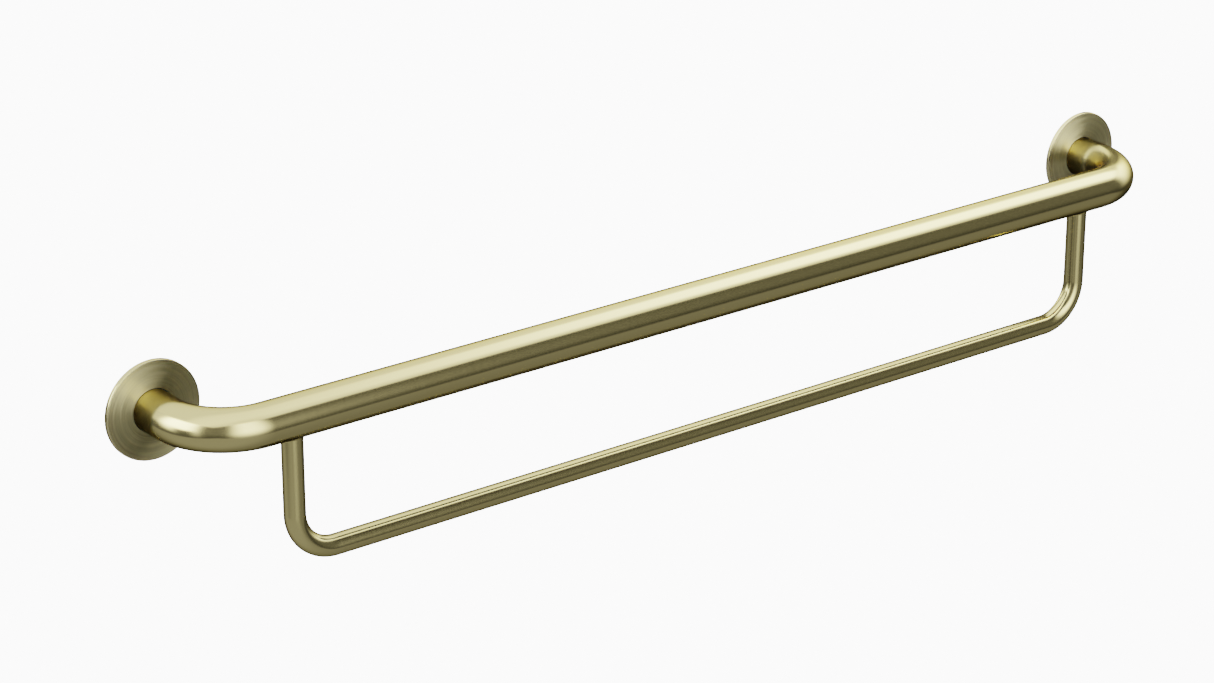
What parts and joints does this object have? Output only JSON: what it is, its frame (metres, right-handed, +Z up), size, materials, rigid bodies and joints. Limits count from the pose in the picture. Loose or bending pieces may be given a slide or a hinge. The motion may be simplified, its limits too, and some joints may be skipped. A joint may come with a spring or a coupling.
{
  "type": "towel rack",
  "caption": "Wall-mounted brushed brass towel rack: a thick bent rail between round cover flanges, with a slimmer U-shaped towel rail welded below it.",
  "frame": {"origin": "on the wall plane, midway between the two flange centres, at the height of the rail's axis", "axes": "+X along the rail, +Y into the wall (the front faces -Y), +Z up"},
  "size_m": [0.975, 0.1007, 0.1525],
  "materials": {
    "rail_brass": "brushed along the tube",
    "towel_rail_brass": "brushed along the tube",
    "weld_brass": "dressed and polished weld",
    "cover_brass": "face brushed in circles",
    "plate_steel": "mill finish",
    "screw_steel": "bright stainless",
    "grip_rubber": "matte"
  },
  "bodies": {
    "rack": {"rail_tube": "rail_brass", "towel_rail": "towel_rail_brass", "left_leg_weld": "weld_brass", "right_leg_weld": "weld_brass", "left_mounting_plate": "plate_steel", "right_mounting_plate": "plate_steel", "left_plate_weld": "plate_steel", "right_plate_weld": "plate_steel", "left_cover_grip_ring": "grip_rubber", "right_cover_grip_ring": "grip_rubber", "left_fixing_screw_1": "screw_steel", "left_fixing_screw_2": "screw_steel", "left_fixing_screw_3": "screw_steel", "right_fixing_screw_1": "screw_steel", "right_fixing_screw_2": "screw_steel", "right_fixing_screw_3": "screw_steel"},
    "left_cover": {"left_cover_flange": "cover_brass"},
    "right_cover": {"right_cover_flange": "cover_brass"}
  },
  "joints": [
    {"name": "left_cover_slide", "type": "slide", "parent": "rack", "child": "left_cover", "axis": [0, -1, 0], "range_m": [0, 0.019]},
    {"name": "right_cover_slide", "type": "slide", "parent": "rack", "child": "right_cover", "axis": [0, -1, 0], "range_m": [0, 0.019]}
  ]
}
